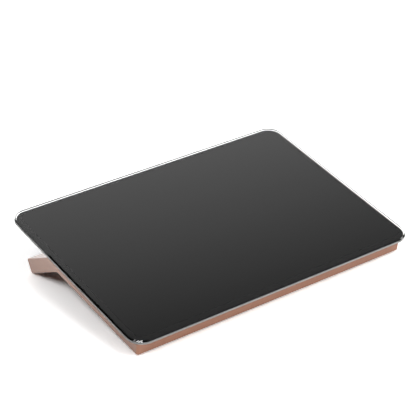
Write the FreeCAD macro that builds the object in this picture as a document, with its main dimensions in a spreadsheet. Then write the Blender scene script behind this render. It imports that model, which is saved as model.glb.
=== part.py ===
"""Desktop glass whiteboard: an A4 glass panel bonded to a bent, hollow stand.

The stand is drawn in its own frame, with X across it, Y up its slope from the
front face and Z up from its underside. Every piece is then tilted about X and
set down so that the rubber feet stand on the desk at Z = 0.
"""
import FreeCAD
import Part
import os
import Sketcher

doc = FreeCAD.newDocument("desktop_glass_whiteboard")

# Counts of what repeats
SCREWS_IN_ROW = 3
LONG_RIBS = 6
CROSS_RIBS = 2

# Driving dimensions, in millimetres and degrees
SIZES = {
    "glass_width": 297,
    "glass_depth": 210,
    "glass_thickness": 4,
    "glass_corner_radius": 15,
    "glass_top_bevel": 1.25,
    "glass_back_arris": 0.6,
    "film_thickness": 0.2,
    "film_margin": 1.8,
    "tape_thickness": 1.3,
    "tape_width": 18,
    "tape_margin": 6,
    "tape_gap": 0.5,
    "side_overhang": 6.8,
    "front_overhang": 7.6,
    "stand_thickness": 13.8,
    "stand_corner_radius": 2.5,
    "stand_edge_radius": 0.8,
    "tilt_angle": 10,
    "bend_angle": 35,
    "bend_distance": 128.8,
    "bend_inner_radius": 3,
    "bend_outer_radius": 4,
    "toe_flat": 3,
    "toe_wall": 6.5,
    "wall": 2.4,
    "ledge": 1.2,
    "rib_thickness": 1.6,
    "rib_gap": 0.3,
    "cover_thickness": 2.4,
    "cover_gap": 0.2,
    "cover_corner_radius": 0.8,
    "collar_diameter": 9,
    "collar_height": 1.6,
    "boss_diameter": 7,
    "boss_side_inset": 20,
    "boss_front_inset": 28,
    "pilot_depth": 6.5,
    "pilot_clearance": 0.1,
    "screw_diameter": 2.8,
    "screw_length": 8,
    "screw_tip": 1.4,
    "screw_head_diameter": 5.6,
    "screw_head_height": 1.6,
    "screw_head_bevel": 0.5,
    "screw_hole_diameter": 3.3,
    "head_recess_diameter": 6.4,
    "head_recess_depth": 1.8,
    "front_standoff": 1,
    "front_foot_length": 44,
    "front_foot_width": 13,
    "front_foot_inset": 6,
    "front_foot_end_inset": 14,
    "front_foot_radius": 3,
    "front_foot_recess": 0.6,
    "foot_clearance": 0.2,
    "rear_foot_length": 60,
    "rear_foot_width": 2.2,
    "rear_foot_thickness": 1,
    "rear_foot_end_inset": 14,
    "overrun": 5,
}

# Places that follow from the driving dimensions
PLACES = {
    "stand_width": "sizes.glass_width - 2 * sizes.side_overhang",
    "leg_fall": "sizes.bend_angle - sizes.tilt_angle",
    "bend_run": "tan(sizes.bend_angle / 2)",
    "ridge": "sizes.bend_distance + sizes.stand_thickness * bend_run",
    "toe_along": "sizes.toe_flat * cos(leg_fall)",
    "toe_up": "sizes.toe_flat * sin(leg_fall)",
    "bend_height": "sizes.bend_distance * sin(sizes.tilt_angle)",
    "toe_drop": "bend_height + sizes.front_standoff - sizes.rear_foot_thickness",
    "leg_length": "toe_along + toe_drop / sin(leg_fall)",
    "cover_leg_length": "leg_length - sizes.toe_wall",
    "boss_x": "stand_width / 2 - sizes.boss_side_inset",
    "rib_pitch": f"2 * boss_x / {LONG_RIBS}",
    "cross_rib_pitch": f"sizes.bend_distance / {CROSS_RIBS + 1}",
    "leg_boss": "cover_leg_length / 2",
    "boss_foot": "sizes.cover_thickness + sizes.collar_height",
    "boss_top": "sizes.stand_thickness - sizes.wall / 2",
    "boss_length": "boss_top - boss_foot",
    "pilot_diameter": "sizes.screw_diameter + sizes.pilot_clearance",
    "collar_root": "sizes.cover_thickness / 2",
    "collar_length": "boss_foot - collar_root",
    "head_level": "sizes.head_recess_depth - sizes.screw_head_height",
    "foot_x": "stand_width / 2 - sizes.front_foot_end_inset - sizes.front_foot_length / 2",
    "rear_foot_x": "stand_width / 2 - sizes.rear_foot_end_inset - sizes.rear_foot_length / 2",
    "film_level": "sizes.stand_thickness + sizes.tape_thickness",
    "glass_level": "film_level + sizes.film_thickness",
    "glass_front_rim": "glass_level + sizes.glass_thickness - sizes.glass_top_bevel",
    "glass_back_rim": "glass_level + sizes.glass_back_arris",
    "front_reach": "sizes.front_overhang * cos(sizes.tilt_angle) + glass_front_rim * sin(sizes.tilt_angle)",
    "back_reach": "(sizes.glass_depth - sizes.front_overhang) * cos(sizes.tilt_angle)"
                  " - glass_back_rim * sin(sizes.tilt_angle)",
    "frame_y": "(front_reach - back_reach) / 2",
}


def fill_sheet(name, rows, prefix):
    """Put one value or formula in each cell of a new sheet, under its alias."""
    sheet = doc.addObject("Spreadsheet::Sheet", name)
    for row, (alias, content) in enumerate(rows.items(), start=1):
        sheet.set(f"A{row}", f"{prefix}{content}")
        sheet.setAlias(f"A{row}", alias)
    doc.recompute()
    return sheet


sizes = fill_sheet("sizes", SIZES, "")
places = fill_sheet("places", PLACES, "=")


def value_of(expression):
    """Number that an expression stands for now."""
    return float(sizes.evalExpression(expression))


# Points of the bent profile, each a pair of expressions for Y and Z

def on_plate(along, above):
    return along, above


def on_bend(above):
    return f"sizes.bend_distance + ({above}) * places.bend_run", above


def on_leg(along, above):
    run = f"sizes.bend_distance + ({along}) * cos(sizes.bend_angle) + ({above}) * sin(sizes.bend_angle)"
    rise = f"({above}) * cos(sizes.bend_angle) - ({along}) * sin(sizes.bend_angle)"
    return run, rise


def on_desk(along):
    """Point of the desk top under a place up the slope."""
    return along, f"-(sizes.front_standoff + ({along}) * sin(sizes.tilt_angle)) / cos(sizes.tilt_angle)"


# Sketches

ACROSS = FreeCAD.Vector(1, 0, 0)
UP = FreeCAD.Vector(0, 0, 1)
ANY_TURN = 1
FULL_TURN = 360
TOUCH = 1e-4


def new_body(label):
    body = doc.addObject("PartDesign::Body", label)
    body.Label = label
    return body


def origin_feature(body, role):
    return next(item for item in body.Origin.OriginFeatures if item.Role == role)


def new_sketch(body, name, role):
    sketch = body.newObject("Sketcher::SketchObject", name)
    sketch.AttachmentSupport = [(origin_feature(body, role), "")]
    sketch.MapMode = "FlatFace"
    return sketch


def lift_sketch(sketch, distance):
    """Move a sketch along its plane's normal."""
    sketch.setExpression("AttachmentOffset.Base.z", distance)


def lay_on_leg(sketch, along, above):
    """Turn a sketch of the XY plane to lie parallel to the leg's underside."""
    run, rise = on_leg(along, above)
    downhill = FreeCAD.Rotation(-ACROSS, ANY_TURN)
    sketch.AttachmentOffset = FreeCAD.Placement(FreeCAD.Vector(), downhill)
    sketch.setExpression("AttachmentOffset.Rotation.Angle", "sizes.bend_angle")
    sketch.setExpression("AttachmentOffset.Base.y", run)
    sketch.setExpression("AttachmentOffset.Base.z", rise)


def bind_datum(sketch, constraint, name, expression):
    index = sketch.addConstraint(constraint)
    sketch.renameConstraint(index, name)
    sketch.setExpression(f"Constraints.{name}", expression)


def bind_point(sketch, geometry, point, name, across, up):
    """Fix one point of a sketch at two expressions from the sketch's origin."""
    x_datum = Sketcher.Constraint("DistanceX", -1, 1, geometry, point, value_of(across))
    y_datum = Sketcher.Constraint("DistanceY", -1, 1, geometry, point, value_of(up))
    bind_datum(sketch, x_datum, f"{name}_x", across)
    bind_datum(sketch, y_datum, f"{name}_y", up)


def draw_outline(sketch, points):
    """Closed outline of straight lines through bound points."""
    corners = [FreeCAD.Vector(value_of(across), value_of(up), 0) for across, up in points]
    following = corners[1:] + corners[:1]
    for start, end in zip(corners, following):
        sketch.addGeometry(Part.LineSegment(start, end), False)
    for line in range(len(points)):
        after = (line + 1) % len(points)
        sketch.addConstraint(Sketcher.Constraint("Coincident", line, 2, after, 1))
    for line, (across, up) in enumerate(points):
        bind_point(sketch, line, 1, f"corner_{line}", across, up)


def draw_rectangle(sketch, left, front, right, back):
    draw_outline(sketch, [(left, front), (right, front), (right, back), (left, back)])


def draw_circle(sketch, across, up, diameter):
    centre = FreeCAD.Vector(value_of(across), value_of(up), 0)
    sketch.addGeometry(Part.Circle(centre, UP, value_of(diameter) / 2), False)
    bind_point(sketch, 0, 3, "centre", across, up)
    datum = Sketcher.Constraint("Diameter", 0, value_of(diameter))
    bind_datum(sketch, datum, "diameter", diameter)


# Edges, found by where they lie

def middle_of(edge):
    return edge.valueAt((edge.FirstParameter + edge.LastParameter) / 2)


def runs_along(edge, direction):
    """True for a straight edge that is parallel to a direction."""
    if edge.Curve.TypeId != "Part::GeomLine":
        return False
    return abs(abs(edge.tangentAt(edge.FirstParameter).dot(direction)) - 1) < TOUCH


def is_upright(edge):
    return runs_along(edge, UP)


def is_upright_corner(edge):
    """Edges through the thickness of a bent plate, at its front and at its leg's end."""
    square_to_leg = FreeCAD.Rotation(-ACROSS, value_of("sizes.bend_angle")).multVec(UP)
    return is_upright(edge) or runs_along(edge, square_to_leg)


def is_across_at(edge, along, above):
    """True for an edge that runs across the stand at one point of its profile."""
    middle = middle_of(edge)
    at_place = abs(middle.y - value_of(along)) < TOUCH and abs(middle.z - value_of(above)) < TOUCH
    return runs_along(edge, ACROSS) and at_place


def is_level_at(edge, height):
    """True for an edge that lies all at one height."""
    box = edge.BoundBox
    return abs(box.ZMin - value_of(height)) < TOUCH and abs(box.ZMax - value_of(height)) < TOUCH


def edge_names(feature, wanted):
    """Names of the edges of a feature that pass a test."""
    doc.recompute()
    edges = feature.Shape.Edges
    return [f"Edge{index}" for index, edge in enumerate(edges, start=1) if wanted(edge)]


# Features

def pad(body, name, sketch, length, symmetric=False):
    feature = body.newObject("PartDesign::Pad", name)
    feature.Profile = sketch
    feature.SideType = "Symmetric" if symmetric else "One side"
    feature.setExpression("Length", length)
    return feature


def pocket(body, name, sketch, length, symmetric=False, upward=False):
    """Cut a sketch out of a body; an upward cut goes along the sketch's normal."""
    feature = body.newObject("PartDesign::Pocket", name)
    feature.Profile = sketch
    feature.SideType = "Symmetric" if symmetric else "One side"
    feature.Reversed = upward
    feature.setExpression("Length", length)
    return feature


def recessed_hole(body, name, sketch):
    """Screw hole from the underside, with a flat recess for the head."""
    doc.recompute()
    hole = body.newObject("PartDesign::Hole", name)
    hole.Profile = sketch
    hole.Reversed = True
    hole.DepthType = "Dimension"
    hole.DrillPoint = "Flat"
    hole.ThreadType = "None"
    hole.HoleCutType = "Counterbore"
    hole.HoleCutCustomValues = True
    hole.setExpression("Depth", "places.boss_foot")
    hole.setExpression("Diameter", "sizes.screw_hole_diameter")
    hole.setExpression("HoleCutDiameter", "sizes.head_recess_diameter")
    hole.setExpression("HoleCutDepth", "sizes.head_recess_depth")
    return hole


def fillet(body, name, base, wanted, radius):
    feature = body.newObject("PartDesign::Fillet", name)
    feature.Base = (base, edge_names(base, wanted))
    feature.setExpression("Radius", radius)
    return feature


def chamfer(body, name, base, wanted, size):
    feature = body.newObject("PartDesign::Chamfer", name)
    feature.Base = (base, edge_names(base, wanted))
    feature.setExpression("Size", size)
    return feature


def row_pattern(body, name, originals, axis, reach, count):
    """Repeat features along one axis, evenly over a reach."""
    doc.recompute()
    pattern = body.newObject("PartDesign::LinearPattern", name)
    pattern.Originals = originals
    pattern.Direction = (origin_feature(body, axis), [""])
    pattern.setExpression("Length", reach)
    pattern.Occurrences = count
    body.Tip = pattern
    return pattern


def screw_row(body, name, originals):
    """Repeat features at each screw of a row across the stand."""
    return row_pattern(body, name, originals, "X_Axis", "2 * places.boss_x", SCREWS_IN_ROW)


# Places in the finished object

def set_base(item, across, along, above):
    """Put a piece's own origin at a point of the stand's frame."""
    back = f"({along}) * cos(sizes.tilt_angle) - ({above}) * sin(sizes.tilt_angle)"
    rise = f"({along}) * sin(sizes.tilt_angle) + ({above}) * cos(sizes.tilt_angle)"
    item.setExpression("Placement.Base.x", across)
    item.setExpression("Placement.Base.y", f"places.frame_y + {back}")
    item.setExpression("Placement.Base.z", f"sizes.front_standoff + {rise}")


def seat(item, across, along, above):
    """Set a piece at a point of the stand's frame, at the stand's tilt."""
    item.Placement = FreeCAD.Placement(FreeCAD.Vector(), FreeCAD.Rotation(ACROSS, ANY_TURN))
    item.setExpression("Placement.Rotation.Angle", "sizes.tilt_angle")
    set_base(item, across, along, above)


def seat_on_leg(item, across, along, above):
    """Set a piece on the leg, square to the leg's underside."""
    item.Placement = FreeCAD.Placement(FreeCAD.Vector(), FreeCAD.Rotation(-ACROSS, ANY_TURN))
    item.setExpression("Placement.Rotation.Angle", "places.leg_fall")
    set_base(item, across, *on_leg(along, above))


def new_block(label, length, width, height):
    block = doc.addObject("Part::Box", label)
    block.Label = label
    block.setExpression("Length", length)
    block.setExpression("Width", width)
    block.setExpression("Height", height)
    return block


SIDES = {"left": "-1", "right": "1"}

# Upper shell: a moulded, bent tray, open underneath, that carries the glass.
# Its rim runs down past the cover, so no seam shows on the front or the sides.
upper_shell = new_body("upper_shell")
shell_profile = new_sketch(upper_shell, "shell_profile", "YZ_Plane")
draw_outline(shell_profile, [
    on_plate("0", "0"),
    on_plate("0", "sizes.stand_thickness"),
    on_bend("sizes.stand_thickness"),
    on_leg("places.leg_length", "sizes.stand_thickness"),
    on_leg("places.leg_length", "0"),
    on_bend("0"),
])
shell_block = pad(upper_shell, "shell_block", shell_profile, "places.stand_width", symmetric=True)
shell_corners = fillet(
    upper_shell, "shell_corners", shell_block, is_upright_corner, "sizes.stand_corner_radius")
shell_inner_bend = fillet(
    upper_shell, "shell_inner_bend", shell_corners,
    lambda edge: is_across_at(edge, *on_bend("0")), "sizes.bend_inner_radius")
shell_ridge = fillet(
    upper_shell, "shell_ridge", shell_inner_bend,
    lambda edge: is_across_at(edge, *on_bend("sizes.stand_thickness")), "sizes.bend_outer_radius")


def is_front_rim(edge):
    """The two long front edges, from which the rounding runs all the way round."""
    return is_across_at(edge, "0", "0") or is_across_at(edge, "0", "sizes.stand_thickness")


fillet(upper_shell, "shell_edges", shell_ridge, is_front_rim, "sizes.stand_edge_radius")

# The shell is hollowed twice: a shallow recess that takes the cover, and the
# cavity above it, set in by the ledge on which the cover rests.
recess_profile = new_sketch(upper_shell, "recess_profile", "YZ_Plane")
draw_outline(recess_profile, [
    on_plate("sizes.wall", "-sizes.overrun"),
    on_plate("sizes.wall", "sizes.cover_thickness"),
    on_bend("sizes.cover_thickness"),
    on_leg("places.cover_leg_length", "sizes.cover_thickness"),
    on_leg("places.cover_leg_length", "-sizes.overrun"),
    on_bend("-sizes.overrun"),
])
pocket(
    upper_shell, "cover_recess", recess_profile, "places.stand_width - 2 * sizes.wall", symmetric=True)
cavity_profile = new_sketch(upper_shell, "cavity_profile", "YZ_Plane")
draw_outline(cavity_profile, [
    on_plate("sizes.wall + sizes.ledge", "0"),
    on_plate("sizes.wall + sizes.ledge", "sizes.stand_thickness - sizes.wall"),
    on_bend("sizes.stand_thickness - sizes.wall"),
    on_leg("places.cover_leg_length - sizes.ledge", "sizes.stand_thickness - sizes.wall"),
    on_leg("places.cover_leg_length - sizes.ledge", "0"),
    on_bend("0"),
])
pocket(
    upper_shell, "shell_cavity", cavity_profile,
    "places.stand_width - 2 * (sizes.wall + sizes.ledge)", symmetric=True)

# Stiffening ribs under the top wall: long ribs that follow the bend, evenly
# spaced between the screws, and cross ribs that part the plate evenly between
# its front and the bend. They stop just short of the cover.
RIB_FOOT = "sizes.cover_thickness + sizes.rib_gap"
rib_profile = new_sketch(upper_shell, "rib_profile", "YZ_Plane")
draw_outline(rib_profile, [
    on_plate("sizes.wall", RIB_FOOT),
    on_plate("sizes.wall", "places.boss_top"),
    on_bend("places.boss_top"),
    on_leg("places.cover_leg_length", "places.boss_top"),
    on_leg("places.cover_leg_length", RIB_FOOT),
    on_bend(RIB_FOOT),
])
lift_sketch(rib_profile, "places.rib_pitch / 2 - places.boss_x")
long_rib = pad(upper_shell, "long_rib", rib_profile, "sizes.rib_thickness", symmetric=True)
row_pattern(
    upper_shell, "long_ribs", [long_rib], "X_Axis", f"places.rib_pitch * {LONG_RIBS - 1}", LONG_RIBS)
cross_rib_profile = new_sketch(upper_shell, "cross_rib_profile", "YZ_Plane")
draw_rectangle(
    cross_rib_profile,
    "places.cross_rib_pitch - sizes.rib_thickness / 2", RIB_FOOT,
    "places.cross_rib_pitch + sizes.rib_thickness / 2", "places.boss_top")
cross_rib = pad(
    upper_shell, "cross_rib", cross_rib_profile, "places.stand_width - 2 * sizes.wall", symmetric=True)
row_pattern(
    upper_shell, "cross_ribs", [cross_rib], "Y_Axis",
    f"places.cross_rib_pitch * {CROSS_RIBS - 1}", CROSS_RIBS)

# Screw bosses with their pilot holes, in a row under the front of the plate
# and in a row across the leg, square to the leg's underside
boss_circle = new_sketch(upper_shell, "boss_circle", "XY_Plane")
draw_circle(boss_circle, "-places.boss_x", "sizes.boss_front_inset", "sizes.boss_diameter")
lift_sketch(boss_circle, "places.boss_foot")
boss = pad(upper_shell, "boss", boss_circle, "places.boss_length")
pilot_circle = new_sketch(upper_shell, "pilot_circle", "XY_Plane")
draw_circle(pilot_circle, "-places.boss_x", "sizes.boss_front_inset", "places.pilot_diameter")
lift_sketch(pilot_circle, "places.boss_foot")
pilot = pocket(upper_shell, "pilot", pilot_circle, "sizes.pilot_depth", upward=True)
screw_row(upper_shell, "bosses", [boss, pilot])

leg_boss_circle = new_sketch(upper_shell, "leg_boss_circle", "XY_Plane")
draw_circle(leg_boss_circle, "-places.boss_x", "0", "sizes.boss_diameter")
lay_on_leg(leg_boss_circle, "places.leg_boss", "places.boss_foot")
leg_boss = pad(upper_shell, "leg_boss", leg_boss_circle, "places.boss_length")
leg_pilot_circle = new_sketch(upper_shell, "leg_pilot_circle", "XY_Plane")
draw_circle(leg_pilot_circle, "-places.boss_x", "0", "places.pilot_diameter")
lay_on_leg(leg_pilot_circle, "places.leg_boss", "places.boss_foot")
leg_pilot = pocket(upper_shell, "leg_pilot", leg_pilot_circle, "sizes.pilot_depth", upward=True)
screw_row(upper_shell, "leg_bosses", [leg_boss, leg_pilot])

# The toe of the leg is planed level with the desk
toe_profile = new_sketch(upper_shell, "toe_profile", "YZ_Plane")
PLANE_ALONG = "sizes.overrun * cos(places.leg_fall)"
PLANE_UP = "sizes.overrun * sin(places.leg_fall)"
draw_outline(toe_profile, [
    on_leg(f"places.leg_length - places.toe_along - {PLANE_ALONG}", f"-({PLANE_UP})"),
    on_leg(f"places.leg_length + {PLANE_ALONG}", f"places.toe_up + {PLANE_UP}"),
    on_leg(f"places.leg_length + {PLANE_ALONG}", f"-({PLANE_UP})"),
])
pocket(
    upper_shell, "toe_cut", toe_profile, "places.stand_width + 2 * sizes.overrun", symmetric=True)
seat(upper_shell, "0", "0", "0")

# Lower cover: a bent plate set flush into the shell's underside, held by
# screws through raised collars, with shallow recesses for the front feet.
lower_cover = new_body("lower_cover")
COVER_FRONT = "sizes.wall + sizes.cover_gap"
COVER_END = "places.cover_leg_length - sizes.cover_gap"
cover_profile = new_sketch(lower_cover, "cover_profile", "YZ_Plane")
draw_outline(cover_profile, [
    on_plate(COVER_FRONT, "0"),
    on_plate(COVER_FRONT, "sizes.cover_thickness"),
    on_bend("sizes.cover_thickness"),
    on_leg(COVER_END, "sizes.cover_thickness"),
    on_leg(COVER_END, "0"),
    on_bend("0"),
])
cover_plate = pad(
    lower_cover, "cover_plate", cover_profile, f"places.stand_width - 2 * ({COVER_FRONT})", symmetric=True)
cover_corners = fillet(
    lower_cover, "cover_corners", cover_plate, is_upright_corner, "sizes.cover_corner_radius")
cover_inner_bend = fillet(
    lower_cover, "cover_inner_bend", cover_corners,
    lambda edge: is_across_at(edge, *on_bend("0")), "sizes.bend_inner_radius")
fillet(
    lower_cover, "cover_outer_bend", cover_inner_bend,
    lambda edge: is_across_at(edge, *on_bend("sizes.cover_thickness")),
    "sizes.bend_inner_radius + sizes.cover_thickness")

foot_outline = new_sketch(lower_cover, "foot_outline", "XY_Plane")
FOOT_BACK = "sizes.front_foot_inset + sizes.front_foot_width"
HALF_RECESS = "(sizes.front_foot_length / 2 + sizes.foot_clearance)"
draw_rectangle(
    foot_outline,
    f"-places.foot_x - {HALF_RECESS}", "sizes.front_foot_inset - sizes.foot_clearance",
    f"-places.foot_x + {HALF_RECESS}", f"{FOOT_BACK} + sizes.foot_clearance")
foot_recess = pocket(lower_cover, "foot_recess", foot_outline, "sizes.front_foot_recess", upward=True)
foot_recesses = row_pattern(
    lower_cover, "foot_recesses", [foot_recess], "X_Axis", "2 * places.foot_x", len(SIDES))


def is_recess_corner(edge):
    return is_upright(edge) and abs(2 * middle_of(edge).z - value_of("sizes.front_foot_recess")) < TOUCH


fillet(
    lower_cover, "recess_corners", foot_recesses, is_recess_corner,
    "sizes.front_foot_radius + sizes.foot_clearance")

collar_circle = new_sketch(lower_cover, "collar_circle", "XY_Plane")
draw_circle(collar_circle, "-places.boss_x", "sizes.boss_front_inset", "sizes.collar_diameter")
lift_sketch(collar_circle, "places.collar_root")
collar = pad(lower_cover, "collar", collar_circle, "places.collar_length")
screw_circle = new_sketch(lower_cover, "screw_circle", "XY_Plane")
draw_circle(screw_circle, "-places.boss_x", "sizes.boss_front_inset", "sizes.screw_hole_diameter")
screw_hole = recessed_hole(lower_cover, "screw_hole", screw_circle)
screw_row(lower_cover, "collars", [collar, screw_hole])

leg_collar_circle = new_sketch(lower_cover, "leg_collar_circle", "XY_Plane")
draw_circle(leg_collar_circle, "-places.boss_x", "0", "sizes.collar_diameter")
lay_on_leg(leg_collar_circle, "places.leg_boss", "places.collar_root")
leg_collar = pad(lower_cover, "leg_collar", leg_collar_circle, "places.collar_length")
leg_screw_circle = new_sketch(lower_cover, "leg_screw_circle", "XY_Plane")
draw_circle(leg_screw_circle, "-places.boss_x", "0", "sizes.screw_hole_diameter")
lay_on_leg(leg_screw_circle, "places.leg_boss", "0")
leg_screw_hole = recessed_hole(lower_cover, "leg_screw_hole", leg_screw_circle)
screw_row(lower_cover, "leg_collars", [leg_collar, leg_screw_hole])
seat(lower_cover, "0", "0", "0")


# Pan-head screws that hold the cover, turned from one profile: a row under
# the plate and a row under the leg

def new_screw(label):
    body = new_body(label)
    profile = new_sketch(body, f"{label}_profile", "XZ_Plane")
    head_radius = "sizes.screw_head_diameter / 2"
    shank_radius = "sizes.screw_diameter / 2"
    shank_end = "sizes.screw_head_height + sizes.screw_length"
    draw_outline(profile, [
        ("0", "0"),
        (f"{head_radius} - sizes.screw_head_bevel", "0"),
        (head_radius, "sizes.screw_head_bevel"),
        (head_radius, "sizes.screw_head_height"),
        (shank_radius, "sizes.screw_head_height"),
        (shank_radius, f"{shank_end} - sizes.screw_tip"),
        ("0", shank_end),
    ])
    turned = body.newObject("PartDesign::Revolution", f"{label}_turned")
    turned.Profile = profile
    turned.ReferenceAxis = (profile, ["V_Axis"])
    turned.Angle = FULL_TURN
    return body, turned


cover_screws, cover_screw = new_screw("cover_screws")
screw_row(cover_screws, "cover_screw_row", [cover_screw])
seat(cover_screws, "-places.boss_x", "sizes.boss_front_inset", "places.head_level")

leg_screws, leg_screw = new_screw("leg_screws")
screw_row(leg_screws, "leg_screw_row", [leg_screw])
seat_on_leg(leg_screws, "-places.boss_x", "places.leg_boss", "places.head_level")

# Front feet: rubber wedges in the cover's recesses, level with the desk below
front_feet = []
for side, sign in SIDES.items():
    foot = new_body(f"front_foot_{side}")
    wedge_profile = new_sketch(foot, f"wedge_profile_{side}", "YZ_Plane")
    draw_outline(wedge_profile, [
        on_plate("sizes.front_foot_inset", "sizes.front_foot_recess"),
        on_plate(FOOT_BACK, "sizes.front_foot_recess"),
        on_desk(FOOT_BACK),
        on_desk("sizes.front_foot_inset"),
    ])
    wedge = pad(foot, f"wedge_{side}", wedge_profile, "sizes.front_foot_length", symmetric=True)
    fillet(foot, f"wedge_corners_{side}", wedge, is_upright, "sizes.front_foot_radius")
    seat(foot, f"{sign} * places.foot_x", "0", "0")
    front_feet.append(foot)

# Rear feet: thin rubber strips under the flat of the toe
rear_feet = []
toe_run, toe_rise = on_leg("places.leg_length - places.toe_along / 2", "places.toe_up / 2")
TOE_BACK = f"({toe_run}) * cos(sizes.tilt_angle) - ({toe_rise}) * sin(sizes.tilt_angle)"
for side, sign in SIDES.items():
    strip = new_block(
        f"rear_foot_{side}", "sizes.rear_foot_length", "sizes.rear_foot_width", "sizes.rear_foot_thickness")
    strip.setExpression("Placement.Base.x", f"{sign} * places.rear_foot_x - sizes.rear_foot_length / 2")
    strip.setExpression("Placement.Base.y", f"places.frame_y + {TOE_BACK} - sizes.rear_foot_width / 2")
    rear_feet.append(strip)

# Foam tape: two full strips across the stand and two short ones at the sides
TAPE_REACH = "(places.stand_width / 2 - sizes.tape_margin)"
SIDE_TAPE_FRONT = "(sizes.tape_margin + sizes.tape_width + sizes.tape_gap)"
REAR_TAPE_FRONT = "(places.ridge - sizes.tape_margin - sizes.tape_width)"
bond_tapes = {}
for name, front in {"front": "sizes.tape_margin", "rear": REAR_TAPE_FRONT}.items():
    tape = new_block(f"bond_tape_{name}", f"2 * {TAPE_REACH}", "sizes.tape_width", "sizes.tape_thickness")
    seat(tape, f"-{TAPE_REACH}", front, "sizes.stand_thickness")
    bond_tapes[name] = tape
SIDE_TAPE_LENGTH = f"{REAR_TAPE_FRONT} - sizes.tape_gap - {SIDE_TAPE_FRONT}"
for name, left in {"left": f"-{TAPE_REACH}", "right": f"{TAPE_REACH} - sizes.tape_width"}.items():
    tape = new_block(f"bond_tape_{name}", "sizes.tape_width", SIDE_TAPE_LENGTH, "sizes.tape_thickness")
    seat(tape, left, SIDE_TAPE_FRONT, "sizes.stand_thickness")
    bond_tapes[name] = tape


# Glass panel and the black film on its back: sheets with rounded corners

def new_sheet(label, margin, thickness):
    """Rounded sheet, set in from the edge of the glass by a margin."""
    body = new_body(label)
    outline = new_sketch(body, f"{label}_outline", "XY_Plane")
    half_width = f"(sizes.glass_width / 2 - {margin})"
    draw_rectangle(outline, f"-{half_width}", margin, half_width, f"sizes.glass_depth - {margin}")
    sheet = pad(body, f"{label}_sheet", outline, thickness)
    rounded = fillet(body, f"{label}_corners", sheet, is_upright, f"sizes.glass_corner_radius - {margin}")
    return body, rounded


backing_film, film_sheet = new_sheet("backing_film", "sizes.film_margin", "sizes.film_thickness")
seat(backing_film, "0", "-sizes.front_overhang", "places.film_level")

glass_panel, glass_sheet = new_sheet("glass_panel", "0", "sizes.glass_thickness")
glass_bevel = chamfer(
    glass_panel, "glass_bevel", glass_sheet,
    lambda edge: is_level_at(edge, "sizes.glass_thickness"), "sizes.glass_top_bevel")
chamfer(
    glass_panel, "glass_arris", glass_bevel,
    lambda edge: is_level_at(edge, "0"), "sizes.glass_back_arris")
seat(glass_panel, "0", "-sizes.front_overhang", "places.glass_level")

# Every feature is sound, and every cut takes something away
doc.recompute()
CUT_TYPES = ("PartDesign::Pocket", "PartDesign::Hole")
for item in doc.Objects:
    if "Invalid" in item.State or "Error" in item.State:
        raise RuntimeError(f"{item.Name} failed: {item.State}")
    if item.TypeId in CUT_TYPES and item.Shape.Volume >= item.BaseFeature.Shape.Volume:
        raise RuntimeError(f"{item.Name} cuts nothing")

sub_parts = [upper_shell, lower_cover, cover_screws, leg_screws, *front_feet, *rear_feet]
sub_parts += [*bond_tapes.values(), backing_film, glass_panel]
for piece in sub_parts:
    if piece.Shape.isNull() or not piece.Shape.isValid():
        raise RuntimeError(f"{piece.Label} has no sound shape")

os.makedirs("parts", exist_ok=True)
for piece in sub_parts:
    piece.Shape.exportStep(f"parts/{piece.Label}.step")
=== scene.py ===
import math

import bmesh
import bpy
from mathutils import Matrix, Vector


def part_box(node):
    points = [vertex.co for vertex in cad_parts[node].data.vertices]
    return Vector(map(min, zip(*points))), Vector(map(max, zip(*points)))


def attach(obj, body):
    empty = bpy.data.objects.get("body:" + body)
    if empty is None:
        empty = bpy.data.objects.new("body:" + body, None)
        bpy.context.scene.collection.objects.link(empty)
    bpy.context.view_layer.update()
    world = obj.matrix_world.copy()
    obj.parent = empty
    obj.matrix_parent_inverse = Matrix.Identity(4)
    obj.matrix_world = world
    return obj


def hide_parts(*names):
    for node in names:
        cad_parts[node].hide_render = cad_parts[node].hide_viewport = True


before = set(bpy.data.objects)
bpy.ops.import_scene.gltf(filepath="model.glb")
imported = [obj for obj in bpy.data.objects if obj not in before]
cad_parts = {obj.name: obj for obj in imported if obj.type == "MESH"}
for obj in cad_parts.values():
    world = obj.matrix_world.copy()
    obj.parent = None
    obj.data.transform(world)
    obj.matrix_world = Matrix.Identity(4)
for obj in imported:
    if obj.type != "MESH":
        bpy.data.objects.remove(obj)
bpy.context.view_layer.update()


# Upper shell: the half of the bent stand that shows, one hollow plastic moulding.
# It is sprayed rose gold over faint hairlines that run across the stand, and on its two
# ends along them, then cleared. The solid is right, so it only gets the lacquer here.
ROSE_DEEP = (0.201, 0.071, 0.026, 1.0)
ROSE_PALE = (0.236, 0.087, 0.033, 1.0)
LINES_PER_METRE = 1500.0
LINE_ENDS_PER_METRE = 9.0


def start_finish(name):
    """A new material with only its surface shader, and the means to add to it."""
    finish = bpy.data.materials.new(name)
    finish.use_nodes = True
    nodes = finish.node_tree.nodes
    return finish, nodes, finish.node_tree.links, nodes["Principled BSDF"]


def set_sockets(shader, **values):
    """Sets what is the same all over the surface on the shader itself."""
    for name, value in values.items():
        shader.inputs[name.replace("_", " ")].default_value = value


def stretched(nodes, links, scale):
    """Object coordinates, with so many pattern units to the metre along each axis."""
    place = nodes.new("ShaderNodeTexCoord")
    mapping = nodes.new("ShaderNodeMapping")
    mapping.inputs["Scale"].default_value = scale
    links.new(place.outputs["Object"], mapping.inputs["Vector"])
    return mapping.outputs["Vector"]


def speckle(nodes, links, vector, detail, roughness=0.55):
    """Noise of about one pattern unit and the finer sizes below it."""
    noise = nodes.new("ShaderNodeTexNoise")
    noise.inputs["Scale"].default_value = 1.0
    noise.inputs["Detail"].default_value = detail
    noise.inputs["Roughness"].default_value = roughness
    links.new(vector, noise.inputs["Vector"])
    return noise.outputs["Fac"]


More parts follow.
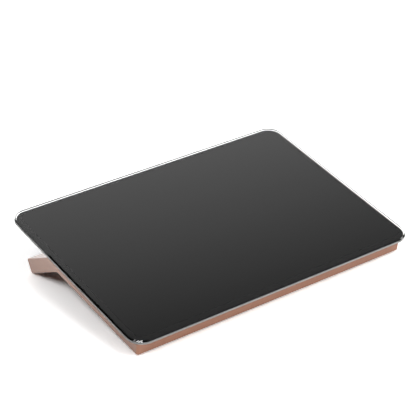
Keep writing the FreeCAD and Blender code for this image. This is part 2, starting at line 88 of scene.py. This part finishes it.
def between(nodes, links, value, low, high, start=0.3, end=0.7):
    """Turns a pattern's middle range into a range of the wanted quantity."""
    spread = nodes.new("ShaderNodeMapRange")
    spread.inputs["From Min"].default_value = start
    spread.inputs["From Max"].default_value = end
    spread.inputs["To Min"].default_value = low
    spread.inputs["To Max"].default_value = high
    links.new(value, spread.inputs["Value"])
    return spread.outputs["Result"]


def two_tone(nodes, links, value, first, second):
    """A colour that goes from the first to the second with the pattern."""
    mix = nodes.new("ShaderNodeMix")
    mix.data_type = "RGBA"
    mix.inputs["A"].default_value = first
    mix.inputs["B"].default_value = second
    links.new(between(nodes, links, value, low=0.0, high=1.0), mix.inputs["Factor"])
    return mix.outputs["Result"]


def raise_grain(nodes, links, height, shader, depth):
    """Makes the pattern stand up by so many metres."""
    bump = nodes.new("ShaderNodeBump")
    bump.inputs["Strength"].default_value = 1.0
    bump.inputs["Distance"].default_value = depth
    links.new(height, bump.inputs["Height"])
    links.new(bump.outputs["Normal"], shader.inputs["Normal"])


def dress(finish, *node_names):
    """Gives CAD nodes their finish."""
    for name in node_names:
        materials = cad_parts[name].data.materials
        materials.clear()
        materials.append(finish)


rose_gold, nodes, links, shader = start_finish("rose_gold_lacquer")
across_stand = stretched(nodes, links, (LINE_ENDS_PER_METRE, LINES_PER_METRE, LINES_PER_METRE))
along_ends = stretched(nodes, links, (LINES_PER_METRE, LINE_ENDS_PER_METRE, LINES_PER_METRE))
surface = nodes.new("ShaderNodeTexCoord")
facing = nodes.new("ShaderNodeSeparateXYZ")
links.new(surface.outputs["Normal"], facing.inputs["Vector"])
sideways = nodes.new("ShaderNodeMath")
sideways.operation = "ABSOLUTE"
links.new(facing.outputs["X"], sideways.inputs[0])
on_ends = between(nodes, links, sideways.outputs["Value"], low=0.0, high=1.0, start=0.6, end=0.8)
hairlines = nodes.new("ShaderNodeMix")
links.new(on_ends, hairlines.inputs["Factor"])
links.new(speckle(nodes, links, across_stand, detail=4.0), hairlines.inputs["A"])
links.new(speckle(nodes, links, along_ends, detail=4.0), hairlines.inputs["B"])
hairline = hairlines.outputs["Result"]
links.new(two_tone(nodes, links, hairline, ROSE_DEEP, ROSE_PALE), shader.inputs["Base Color"])
links.new(between(nodes, links, hairline, low=0.34, high=0.44), shader.inputs["Roughness"])
raise_grain(nodes, links, hairline, shader, depth=0.000004)
set_sockets(shader, Metallic=0.65, Coat_Weight=1.0, Coat_Roughness=0.28, Coat_IOR=1.5)
dress(rose_gold, "upper_shell")


# Lower cover: the flat half that closes the stand from below, moulded in deep rose-brown
# plastic with the fine matt grain of a spark-eroded mould. It sits inside the shell's rim.
PLASTIC_DARK = (0.072, 0.025, 0.013, 1.0)
PLASTIC_LIGHT = (0.105, 0.040, 0.023, 1.0)
GRAIN_PER_METRE = 2200.0

rose_plastic, nodes, links, shader = start_finish("rose_brown_moulded_plastic")
grain = speckle(nodes, links, stretched(nodes, links, (GRAIN_PER_METRE,) * 3), detail=3.0, roughness=0.6)
links.new(two_tone(nodes, links, grain, PLASTIC_DARK, PLASTIC_LIGHT), shader.inputs["Base Color"])
links.new(between(nodes, links, grain, low=0.48, high=0.66), shader.inputs["Roughness"])
raise_grain(nodes, links, grain, shader, depth=0.00004)
set_sockets(shader, Specular_IOR_Level=0.45)
dress(rose_plastic, "lower_cover")


# Cover screws: two rows of three plated steel pan heads with a cross recess. They draw the
# cover up against the shell's bosses, one row under the plate and one under the leg.
SCREW_HEAD_RADIUS = 0.0028
SCREW_HEAD_HEIGHT = 0.0016
SCREW_HEAD_FLAT = 0.0017
SCREW_HEAD_SHOULDER = 0.00245
SCREW_SHOULDER_DROP = 0.00022
SCREW_RIM_DROP = 0.0007
SCREW_SHANK_RADIUS = 0.0014
SCREW_SHANK_LENGTH = 0.0080
SCREW_TIP_RADIUS = 0.0007
SCREW_TIP_LENGTH = 0.0010
SCREW_SIDES = 32
CROSS_SPAN = 0.0027
CROSS_CELLS = 3
CROSS_DEPTH = 0.0011
CROSS_FLOOR_SHARE = 0.55
PLATE_TILT = math.radians(10.0)
LEG_BEND = math.radians(35.0)
STEEL_DARK = (0.42, 0.42, 0.43, 1.0)
STEEL_LIGHT = (0.60, 0.60, 0.61, 1.0)
PLATING_PER_METRE = 900.0


def widen_rim(mesh, rim, radius, drop):
    """Carries a ring of edges on to a new radius, so much further along the axis."""
    new_rim = bmesh.ops.extrude_edge_only(mesh, edges=rim)["geom"]
    ring = [part for part in new_rim if isinstance(part, bmesh.types.BMVert)]
    share = radius / ring[0].co.xy.length
    bmesh.ops.scale(mesh, vec=(share, share, 1.0), verts=ring)
    bmesh.ops.translate(mesh, vec=(0.0, 0.0, drop), verts=ring)
    return [part for part in new_rim if isinstance(part, bmesh.types.BMEdge) and part.is_boundary]


def cross_head_screw():
    """One screw on the Z axis, its head at zero and its tip above, as a mesh."""
    screw = bmesh.new()
    bmesh.ops.create_grid(screw, x_segments=CROSS_CELLS, y_segments=CROSS_CELLS, size=CROSS_SPAN / 2)
    half_cell = CROSS_SPAN / CROSS_CELLS / 2
    corners = [face for face in screw.faces if min(map(abs, face.calc_center_median().xy)) > half_cell]
    bmesh.ops.delete(screw, geom=corners, context="FACES")
    cross_edge = [edge for edge in screw.edges if edge.is_boundary]
    ring = bmesh.ops.create_circle(screw, segments=SCREW_SIDES, radius=SCREW_HEAD_FLAT)["verts"]
    ring_edge = list({edge for vert in ring for edge in vert.link_edges})
    slots = screw.faces[:]
    bmesh.ops.bridge_loops(screw, edges=cross_edge + ring_edge)
    sunk = bmesh.ops.extrude_face_region(screw, geom=slots)["geom"]
    floor_points = [part for part in sunk if isinstance(part, bmesh.types.BMVert)]
    bmesh.ops.translate(screw, vec=(0.0, 0.0, CROSS_DEPTH), verts=floor_points)
    bmesh.ops.scale(screw, vec=(CROSS_FLOOR_SHARE, CROSS_FLOOR_SHARE, 1.0), verts=floor_points)
    bmesh.ops.delete(screw, geom=[face for face in slots if face.is_valid], context="FACES")
    rim = [edge for edge in screw.edges if edge.is_boundary]
    for radius, drop in (
        (SCREW_HEAD_SHOULDER, SCREW_SHOULDER_DROP),
        (SCREW_HEAD_RADIUS, SCREW_RIM_DROP - SCREW_SHOULDER_DROP),
        (SCREW_HEAD_RADIUS, SCREW_HEAD_HEIGHT - SCREW_RIM_DROP),
        (SCREW_SHANK_RADIUS, 0.0),
        (SCREW_SHANK_RADIUS, SCREW_SHANK_LENGTH - SCREW_TIP_LENGTH),
        (SCREW_TIP_RADIUS, SCREW_TIP_LENGTH),
    ):
        rim = widen_rim(screw, rim, radius, drop)
    bmesh.ops.contextual_create(screw, geom=rim)
    bmesh.ops.recalc_face_normals(screw, faces=screw.faces[:])
    made = bpy.data.meshes.new("cross_head_screw")
    screw.to_mesh(made)
    screw.free()
    return made


def settle(mesh, node_name):
    """Moves a mesh so that the middle of its box is where the CAD node has its own."""
    points = [vert.co for vert in mesh.verts]
    low = Vector(min(point[axis] for point in points) for axis in range(3))
    high = Vector(max(point[axis] for point in points) for axis in range(3))
    node_low, node_high = (Vector(corner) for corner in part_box(node_name))
    bmesh.ops.translate(mesh, vec=(node_low + node_high - low - high) / 2, verts=mesh.verts[:])


def show(mesh, name, finish, node_name, crease=30.0):
    """Makes a mesh a piece of the object: finished, riding, and standing for its node."""
    data = bpy.data.meshes.new(name)
    for face in mesh.faces:
        face.smooth = True
    mesh.to_mesh(data)
    mesh.free()
    data.set_sharp_from_angle(angle=math.radians(crease))
    data.materials.append(finish)
    piece = bpy.data.objects.new(name, data)
    bpy.context.scene.collection.objects.link(piece)
    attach(piece, "root")
    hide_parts(node_name)
    return piece


plated_steel, nodes, links, shader = start_finish("plated_steel")
plating = speckle(nodes, links, stretched(nodes, links, (PLATING_PER_METRE,) * 3), detail=5.0, roughness=0.7)
links.new(two_tone(nodes, links, plating, STEEL_DARK, STEEL_LIGHT), shader.inputs["Base Color"])
links.new(between(nodes, links, plating, low=0.22, high=0.42), shader.inputs["Roughness"])
raise_grain(nodes, links, plating, shader, depth=0.000012)
set_sockets(shader, Metallic=1.0)
one_screw = cross_head_screw()
for node_name, lean in (("cover_screws", PLATE_TILT), ("leg_screws", PLATE_TILT - LEG_BEND)):
    row_start, row_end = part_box(node_name)
    row = bmesh.new()
    for place in (row_start[0] + SCREW_HEAD_RADIUS, 0.0, row_end[0] - SCREW_HEAD_RADIUS):
        before = len(row.verts)
        row.from_mesh(one_screw)
        row.verts.ensure_lookup_table()
        bmesh.ops.translate(row, vec=(place, 0.0, 0.0), verts=row.verts[before:])
    bmesh.ops.rotate(row, matrix=Matrix.Rotation(lean, 3, "X"), verts=row.verts[:])
    settle(row, node_name)
    show(row, node_name + "_cross_head", plated_steel, node_name)


# Feet: black rubber. Two wedges under the plate's front make up for its slope, and two thin
# strips lie on the toe of the leg. All four are glued in, and their moulded skin is matt.
RUBBER_DARK = (0.008, 0.008, 0.008, 1.0)
RUBBER_LIGHT = (0.018, 0.017, 0.016, 1.0)
SKIN_PER_METRE = 1300.0

foot_rubber, nodes, links, shader = start_finish("matt_foot_rubber")
skin = speckle(nodes, links, stretched(nodes, links, (SKIN_PER_METRE,) * 3), detail=4.0, roughness=0.65)
links.new(two_tone(nodes, links, skin, RUBBER_DARK, RUBBER_LIGHT), shader.inputs["Base Color"])
links.new(between(nodes, links, skin, low=0.70, high=0.90), shader.inputs["Roughness"])
raise_grain(nodes, links, skin, shader, depth=0.00006)
set_sockets(shader, Specular_IOR_Level=0.3)
dress(foot_rubber, "front_foot_left", "front_foot_right", "rear_foot_left", "rear_foot_right")


# Bond tape: four strips of black closed-cell foam, sticky on both faces, laid as a frame
# on the stand. They carry the glass and hold it clear of the lacquer.
FOAM_DARK = (0.006, 0.006, 0.006, 1.0)
FOAM_LIGHT = (0.020, 0.020, 0.020, 1.0)
CELLS_PER_METRE = 3200.0

foam_tape, nodes, links, shader = start_finish("closed_cell_foam")
cells = nodes.new("ShaderNodeTexVoronoi")
cells.inputs["Scale"].default_value = 1.0
links.new(stretched(nodes, links, (CELLS_PER_METRE,) * 3), cells.inputs["Vector"])
cell = cells.outputs["Distance"]
links.new(two_tone(nodes, links, cell, FOAM_DARK, FOAM_LIGHT), shader.inputs["Base Color"])
links.new(between(nodes, links, cell, low=0.80, high=0.95), shader.inputs["Roughness"])
raise_grain(nodes, links, cell, shader, depth=0.00008)
set_sockets(shader, Specular_IOR_Level=0.2)
dress(foam_tape, "bond_tape_front", "bond_tape_rear", "bond_tape_left", "bond_tape_right")


# Backing film: black vinyl, stuck to the whole back of the glass but for a narrow clear
# margin. The glue leaves no air, so the film meets the glass a hair inside its face.
FILM_WIDTH = 0.2934
FILM_DEPTH = 0.2064
FILM_CORNER = 0.0132
FILM_THICKNESS = 0.0002
FILM_CONTACT = 0.00002
CORNER_STEPS = 20
FILM_DARK = (0.0020, 0.0020, 0.0021, 1.0)
FILM_LIGHT = (0.0032, 0.0032, 0.0033, 1.0)
VINYL_PER_METRE = 5000.0


def rounded_sheet(width, depth, corner, thickness):
    """A flat sheet with rounded corners, lying on zero."""
    sheet = bmesh.new()
    bmesh.ops.create_grid(sheet, x_segments=1, y_segments=1, size=0.5)
    bmesh.ops.scale(sheet, vec=(width, depth, 1.0), verts=sheet.verts[:])
    bmesh.ops.bevel(
        sheet, geom=sheet.verts[:], affect="VERTICES", offset=corner, offset_type="OFFSET",
        segments=CORNER_STEPS, profile=0.5, material=-1,
    )
    raised = bmesh.ops.extrude_face_region(sheet, geom=sheet.faces[:])["geom"]
    top = [part for part in raised if isinstance(part, bmesh.types.BMVert)]
    bmesh.ops.translate(sheet, vec=(0.0, 0.0, thickness), verts=top)
    bmesh.ops.recalc_face_normals(sheet, faces=sheet.faces[:])
    return sheet


black_film, nodes, links, shader = start_finish("black_backing_film")
vinyl = speckle(nodes, links, stretched(nodes, links, (VINYL_PER_METRE,) * 3), detail=3.0)
links.new(two_tone(nodes, links, vinyl, FILM_DARK, FILM_LIGHT), shader.inputs["Base Color"])
links.new(between(nodes, links, vinyl, low=0.45, high=0.55), shader.inputs["Roughness"])
set_sockets(shader, Specular_IOR_Level=0.0)
film = rounded_sheet(FILM_WIDTH, FILM_DEPTH, FILM_CORNER, FILM_THICKNESS)
bmesh.ops.rotate(film, matrix=Matrix.Rotation(PLATE_TILT, 3, "X"), verts=film.verts[:])
settle(film, "backing_film")
plate_up = Vector((0.0, -math.sin(PLATE_TILT), math.cos(PLATE_TILT)))
bmesh.ops.translate(film, vec=plate_up * FILM_CONTACT, verts=film.verts[:])
show(film, "backing_film_sheet", black_film, "backing_film")


# Glass panel: 4 mm toughened clear glass with rounded corners. The writing side has a
# polished bevel all round, the back only a fine arris, and the edge between them is ground.
# Over the film the glass is tinted dark. Seen from inside the glass, its ground edge has a painted shade: it
# is coloured dark there.
GLASS_WIDTH = 0.297
GLASS_DEPTH = 0.210
GLASS_CORNER = 0.015
GLASS_THICKNESS = 0.004
GLASS_BEVEL = 0.00125
GLASS_ARRIS = 0.0006
GLASS_IOR = 1.52
GLASS_TINT = (0.960, 0.972, 0.966, 1.0)
BACKED_TINT = (0.03, 0.03, 0.03, 1.0)
BACKED_INSET = 0.0052
WAVES_PER_METRE = (3.0, 22.0, 3.0)
EDGE_DARK = (0.48, 0.49, 0.485, 1.0)
EDGE_LIGHT = (0.63, 0.64, 0.635, 1.0)
EDGE_INSIDE_PAINTED_SHADE = (0.03, 0.03, 0.03, 1.0)
GRIT_PER_METRE = 4000.0
SAME_LEVEL = 0.000001
LOWEST_EDGE_SLANT = -0.9
HIGHEST_EDGE_SLANT = 0.5
CLEAR, GROUND, BACKED = range(3)


def rolled_glass(name, tint):
    """Glass of one tint, with the faint waves that the rollers leave in it."""
    finish, nodes, links, shader = start_finish(name)
    waves = speckle(nodes, links, stretched(nodes, links, WAVES_PER_METRE), detail=1.0)
    raise_grain(nodes, links, waves, shader, depth=0.00002)
    set_sockets(shader, Base_Color=tint, Transmission_Weight=1.0, IOR=GLASS_IOR, Roughness=0.0)
    return finish


clear_glass = rolled_glass("clear_toughened_glass", GLASS_TINT)
backed_glass = rolled_glass("glass_over_black_film", BACKED_TINT)
ground_edge, nodes, links, shader = start_finish("ground_glass_edge")
grit = speckle(nodes, links, stretched(nodes, links, (GRIT_PER_METRE,) * 3), detail=3.0)
# Painted shade: from inside the glass (its back side), the ground edge turns near-black. This draws the thin
# dark outline round the clear margin. From outside it keeps its own grey grit.
painted_inner_shade = nodes.new("ShaderNodeMix")
painted_inner_shade.data_type = "RGBA"
painted_inner_shade.inputs["B"].default_value = EDGE_INSIDE_PAINTED_SHADE
links.new(nodes.new("ShaderNodeNewGeometry").outputs["Backfacing"], painted_inner_shade.inputs["Factor"])
links.new(two_tone(nodes, links, grit, EDGE_DARK, EDGE_LIGHT), painted_inner_shade.inputs["A"])
links.new(painted_inner_shade.outputs["Result"], shader.inputs["Base Color"])
links.new(between(nodes, links, grit, low=0.30, high=0.45), shader.inputs["Roughness"])
raise_grain(nodes, links, grit, shader, depth=0.000008)
set_sockets(shader, Transmission_Weight=0.70, IOR=GLASS_IOR)

glass = rounded_sheet(GLASS_WIDTH, GLASS_DEPTH, GLASS_CORNER, GLASS_THICKNESS)
for level, size in ((GLASS_THICKNESS, GLASS_BEVEL), (0.0, GLASS_ARRIS)):
    rim = [edge for edge in glass.edges if all(abs(vert.co.z - level) < SAME_LEVEL for vert in edge.verts)]
    bmesh.ops.bevel(
        glass, geom=rim, affect="EDGES", offset=size, offset_type="OFFSET",
        segments=1, profile=0.5, material=-1,
    )
writing_face = max(glass.faces, key=lambda face: face.calc_center_median().z)
bmesh.ops.inset_individual(glass, faces=[writing_face], thickness=BACKED_INSET)
for face in glass.faces:
    on_edge = LOWEST_EDGE_SLANT < face.normal.z < HIGHEST_EDGE_SLANT
    face.material_index = GROUND if on_edge else CLEAR
writing_face.material_index = BACKED
bmesh.ops.rotate(glass, matrix=Matrix.Rotation(PLATE_TILT, 3, "X"), verts=glass.verts[:])
settle(glass, "glass_panel")
panel = show(glass, "glass_panel_polished", clear_glass, "glass_panel", crease=25.0)
panel.data.materials.append(ground_edge)
panel.data.materials.append(backed_glass)


# Studio: a wide white floor just under the feet. Only what the camera, gloss or glass sees
# of it is lifted to white, and its shadow stays.
FLOOR_RADIUS = 2.4
FLOOR_SIDES = 96
FLOOR_DROP = 0.0002
FLOOR_WHITE = (0.80, 0.80, 0.80, 1.0)
FLOOR_SEEN = (1.70, 1.70, 1.70, 1.0)

paper, nodes, links, shader = start_finish("white_floor_paper")
nodes.remove(shader)
matt = nodes.new("ShaderNodeBsdfDiffuse")
ray = nodes.new("ShaderNodeLightPath")
mirrored = nodes.new("ShaderNodeMath")
mirrored.operation = "MAXIMUM"
links.new(ray.outputs["Is Glossy Ray"], mirrored.inputs[0])
links.new(ray.outputs["Is Transmission Ray"], mirrored.inputs[1])
seen = nodes.new("ShaderNodeMath")
seen.operation = "MAXIMUM"
links.new(ray.outputs["Is Camera Ray"], seen.inputs[0])
links.new(mirrored.outputs["Value"], seen.inputs[1])
white = nodes.new("ShaderNodeMix")
white.data_type = "RGBA"
white.inputs["A"].default_value = FLOOR_WHITE
white.inputs["B"].default_value = FLOOR_SEEN
links.new(seen.outputs["Value"], white.inputs["Factor"])
links.new(white.outputs["Result"], matt.inputs["Color"])
links.new(matt.outputs["BSDF"], nodes["Material Output"].inputs["Surface"])
floor_mesh = bmesh.new()
bmesh.ops.create_circle(floor_mesh, cap_ends=True, segments=FLOOR_SIDES, radius=FLOOR_RADIUS)
bmesh.ops.translate(floor_mesh, vec=(0.0, 0.0, -FLOOR_DROP), verts=floor_mesh.verts[:])
floor_data = bpy.data.meshes.new("studio_floor")
floor_mesh.to_mesh(floor_data)
floor_mesh.free()
floor_data.materials.append(paper)
floor = bpy.data.objects.new("studio_floor", floor_data)
bpy.context.scene.collection.objects.link(floor)


# Surroundings: a dim room, pale round the horizon, with a large bright wall behind, a greyer
# one at the front right and a pale ceiling. The glass shows the back wall's fade.
ROOM_DIM = 0.02
BACK_WALL = {"towards": (0.36, 0.933, 0.0), "fade": (0.545, 0.7975), "bright": 1.66}
FRONT_WALL = {"towards": (0.60, -0.80, 0.0), "fade": (0.60, 0.90), "bright": 0.45}
CEILING = {"towards": (0.0, 0.0, 1.0), "fade": (0.86, 0.97), "bright": 0.40}
HORIZON_FADE = (0.045, 0.08)

world = bpy.data.worlds.new("soft_room")
bpy.context.scene.world = world
world.use_nodes = True
nodes, links = world.node_tree.nodes, world.node_tree.links
nodes["Background"].inputs["Color"].default_value = (1.0, 1.0, 1.0, 1.0)
direction = nodes.new("ShaderNodeTexCoord").outputs["Generated"]


def soft_step(value, fade, low, high):
    """Goes smoothly from the low to the high brightness over the fade."""
    step = nodes.new("ShaderNodeMapRange")
    step.interpolation_type = "SMOOTHSTEP"
    step.inputs["From Min"].default_value, step.inputs["From Max"].default_value = fade
    step.inputs["To Min"].default_value = low
    step.inputs["To Max"].default_value = high
    links.new(value, step.inputs["Value"])
    return step.outputs["Result"]


def wall_light(towards, fade, bright, dim=0.0):
    """The brightness of one wall, and the dimness away from it."""
    facing = nodes.new("ShaderNodeVectorMath")
    facing.operation = "DOT_PRODUCT"
    facing.inputs[1].default_value = towards
    links.new(direction, facing.inputs[0])
    return soft_step(facing.outputs["Value"], fade, low=dim, high=dim + bright)


def joined(operation, first, second):
    """The sum or the larger of two brightnesses."""
    join = nodes.new("ShaderNodeMath")
    join.operation = operation
    links.new(first, join.inputs[0])
    links.new(second, join.inputs[1])
    return join.outputs["Value"]


room = wall_light(**BACK_WALL, dim=ROOM_DIM)
for wall in (FRONT_WALL, CEILING):
    room = joined("ADD", room, wall_light(**wall))
height = nodes.new("ShaderNodeSeparateXYZ")
links.new(direction, height.inputs["Vector"])
horizon = soft_step(height.outputs["Z"], HORIZON_FADE, low=1.0, high=0.0)
links.new(joined("MAXIMUM", room, horizon), nodes["Background"].inputs["Strength"])


# Lamps: soft boxes stand low and high at the front, on the right and high on the left. A card
# at the back left lights the bevel there, and two slim strips at the front left, which only
# gloss sees, draw the glint on the rounded corner.
MIDDLE = (0.0, 0.0, 0.0)
BACK_LEFT_BEVEL = (-0.14, 0.06, 0.04)
FRONT_LEFT_CORNER = (-0.13, -0.09, 0.02)


def add_lamp(name, place, aim, width, height, radiance):
    """A soft box of even brightness, turned to its aim."""
    data = bpy.data.lights.new(name, "AREA")
    data.shape = "RECTANGLE"
    data.size, data.size_y = width, height
    data.energy = radiance * math.pi * width * height
    lamp = bpy.data.objects.new(name, data)
    bpy.context.scene.collection.objects.link(lamp)
    lamp.location = place
    lamp.rotation_euler = (Vector(aim) - Vector(place)).to_track_quat("-Z", "Y").to_euler()
    lamp.visible_camera = False
    return lamp


add_lamp("front_soft_box", (1.422, -2.108, 0.541), MIDDLE, width=4.2, height=0.9, radiance=5.6)
add_lamp("right_soft_box", (2.041, -0.952, 1.300), MIDDLE, width=0.9, height=0.9, radiance=3.7)
add_lamp("front_high_box", (0.420, -1.615, 1.992), MIDDLE, width=1.1, height=0.9, radiance=7.1)
add_lamp("left_soft_box", (-1.466, -0.447, 2.100), MIDDLE, width=1.1, height=0.9, radiance=8.2)
add_lamp(
    "back_left_card", (-1.387, 1.774, 1.300), BACK_LEFT_BEVEL, width=0.68, height=0.62, radiance=1.05)
long_glint = add_lamp(
    "corner_strip", (-1.070, -1.250, 1.350), FRONT_LEFT_CORNER, width=1.10, height=0.10, radiance=12.0)
short_glint = add_lamp(
    "corner_card", (-1.511, -0.620, 1.366), FRONT_LEFT_CORNER, width=0.26, height=0.10, radiance=4.0)
for glint in (long_glint, short_glint):
    glint.visible_diffuse = False


# Camera: a long lens at the front left, looking down on the board and turned a little about
# its own axis, so that the panel's edges fall where the photograph has them.
CAMERA_PLACE = (-0.690249, -1.020226, 0.693755)
CAMERA_AIM = (0.02656, 0.042828, 0.027145)
CAMERA_ROLL = math.radians(-2.562)
CAMERA_LENS = 134.45
CAMERA_SENSOR = 36.0

camera_data = bpy.data.cameras.new("camera")
camera_data.lens = CAMERA_LENS
camera_data.sensor_width = CAMERA_SENSOR
camera = bpy.data.objects.new("camera", camera_data)
bpy.context.scene.collection.objects.link(camera)
aimed = (Vector(CAMERA_AIM) - Vector(CAMERA_PLACE)).to_track_quat("-Z", "Y").to_matrix()
turned = aimed @ Matrix.Rotation(CAMERA_ROLL, 3, "Z")
camera.matrix_world = Matrix.Translation(CAMERA_PLACE) @ turned.to_4x4()
bpy.context.scene.camera = camera
bpy.context.scene.view_settings.view_transform = "Standard"
